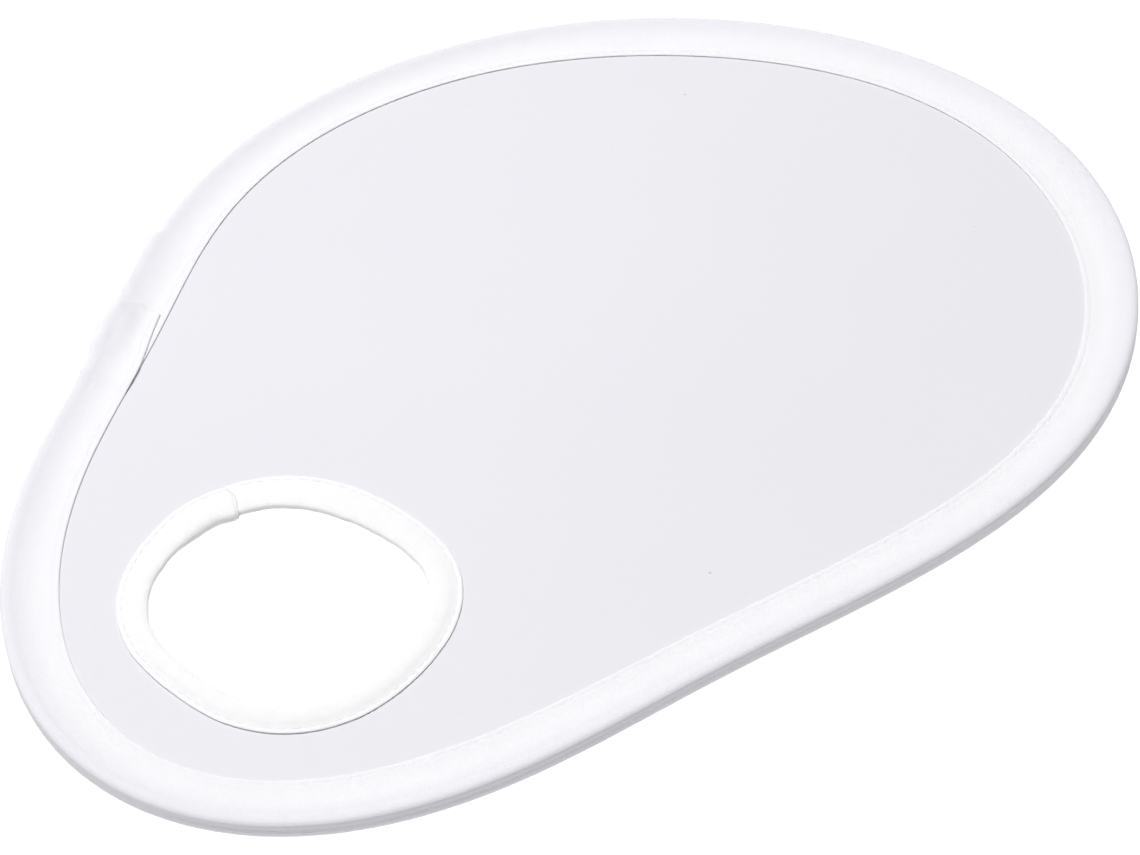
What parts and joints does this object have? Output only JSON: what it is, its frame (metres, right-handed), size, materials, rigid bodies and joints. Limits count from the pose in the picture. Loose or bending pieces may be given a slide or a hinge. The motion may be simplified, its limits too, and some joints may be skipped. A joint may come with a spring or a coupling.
{
  "type": "pop-up flash diffuser",
  "caption": "Flat oval sheet held open by a sprung steel hoop in a folded rim tape, with an elastic-edged hole near one end that grips a camera lens and softens a built-in flash.",
  "frame": {"origin": "middle of the bounding box, at its base, where the part rests", "axes": "+X along the length from the narrow lens-hole end to the wide end, +Y across, +Z through the sheet's thickness, upwards as it lies"},
  "size_m": [0.3, 0.231, 0.006],
  "materials": {
    "sheet": "smooth translucent white nylon",
    "rim_tape": "white woven binding tape",
    "stretch_binding": "white stretch binding",
    "thread": "white sewing thread",
    "elastic": "braided elastic",
    "joint_wrap": "pale shrink tube",
    "spring_steel": "tempered strip"
  },
  "bodies": {
    "root": {"diffusion_panel": "sheet", "rim_tape": "rim_tape", "spring_hoop": "spring_steel", "hoop_joint_sleeve": "spring_steel", "hoop_joint_wrap": "joint_wrap", "rim_needle_thread": "thread", "rim_bobbin_thread": "thread", "lens_hole_binding": "stretch_binding", "lens_hole_elastic": "elastic", "elastic_tack_thread": "thread", "hole_needle_thread": "thread", "hole_bobbin_thread": "thread"}
  },
  "joints": []
}
